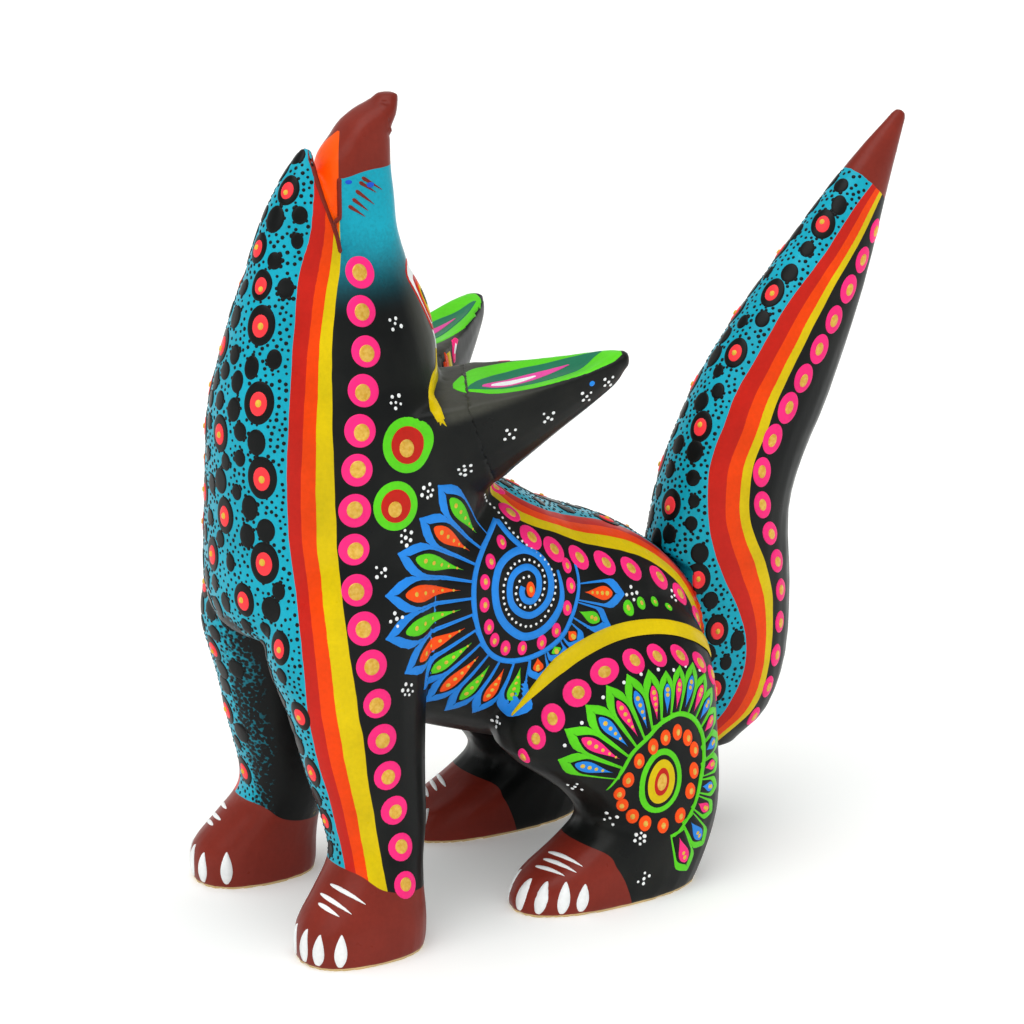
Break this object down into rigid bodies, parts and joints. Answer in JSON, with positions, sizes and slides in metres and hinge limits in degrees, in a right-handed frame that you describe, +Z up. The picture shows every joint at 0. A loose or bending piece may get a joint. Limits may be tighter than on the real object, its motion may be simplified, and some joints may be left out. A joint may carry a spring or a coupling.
{
  "type": "carved animal figure",
  "caption": "Painted wooden coyote howling with its nose up: one carving for trunk, head and legs, with push-in ears and an upright tail on round pegs.",
  "frame": {"origin": "centre of the figure's bounding box at floor level, under the belly", "axes": "+Z up, -Y the way the coyote faces, +X its left side"},
  "size_m": [0.0574, 0.138, 0.1402],
  "materials": {
    "painted_carving": "satin acrylic paint on carved copal wood, black ground with raised dots",
    "painted_tail": "satin acrylic paint on carved copal wood, turquoise ground with stripes and dots",
    "painted_ear": "satin acrylic paint on carved copal wood, black outside and green inside",
    "bare_wood": "unpainted round peg, matte"
  },
  "bodies": {
    "carving": {"body_carving": "painted_carving"},
    "tail": {"tail": "painted_tail", "tail_peg": "bare_wood"},
    "ear_left": {"ear_left": "painted_ear", "ear_left_peg": "bare_wood"},
    "ear_right": {"ear_right": "painted_ear", "ear_right_peg": "bare_wood"}
  },
  "joints": [
    {"name": "tail_pull", "type": "slide", "parent": "carving", "child": "tail", "axis": [0, 1, 0], "range_m": [0, 0.016]},
    {"name": "ear_left_pull", "type": "slide", "parent": "carving", "child": "ear_left", "axis": [0.466, 0.8407, 0.2756], "range_m": [0, 0.01]},
    {"name": "ear_right_pull", "type": "slide", "parent": "carving", "child": "ear_right", "axis": [-0.466, 0.8407, 0.2756], "range_m": [0, 0.01]}
  ]
}
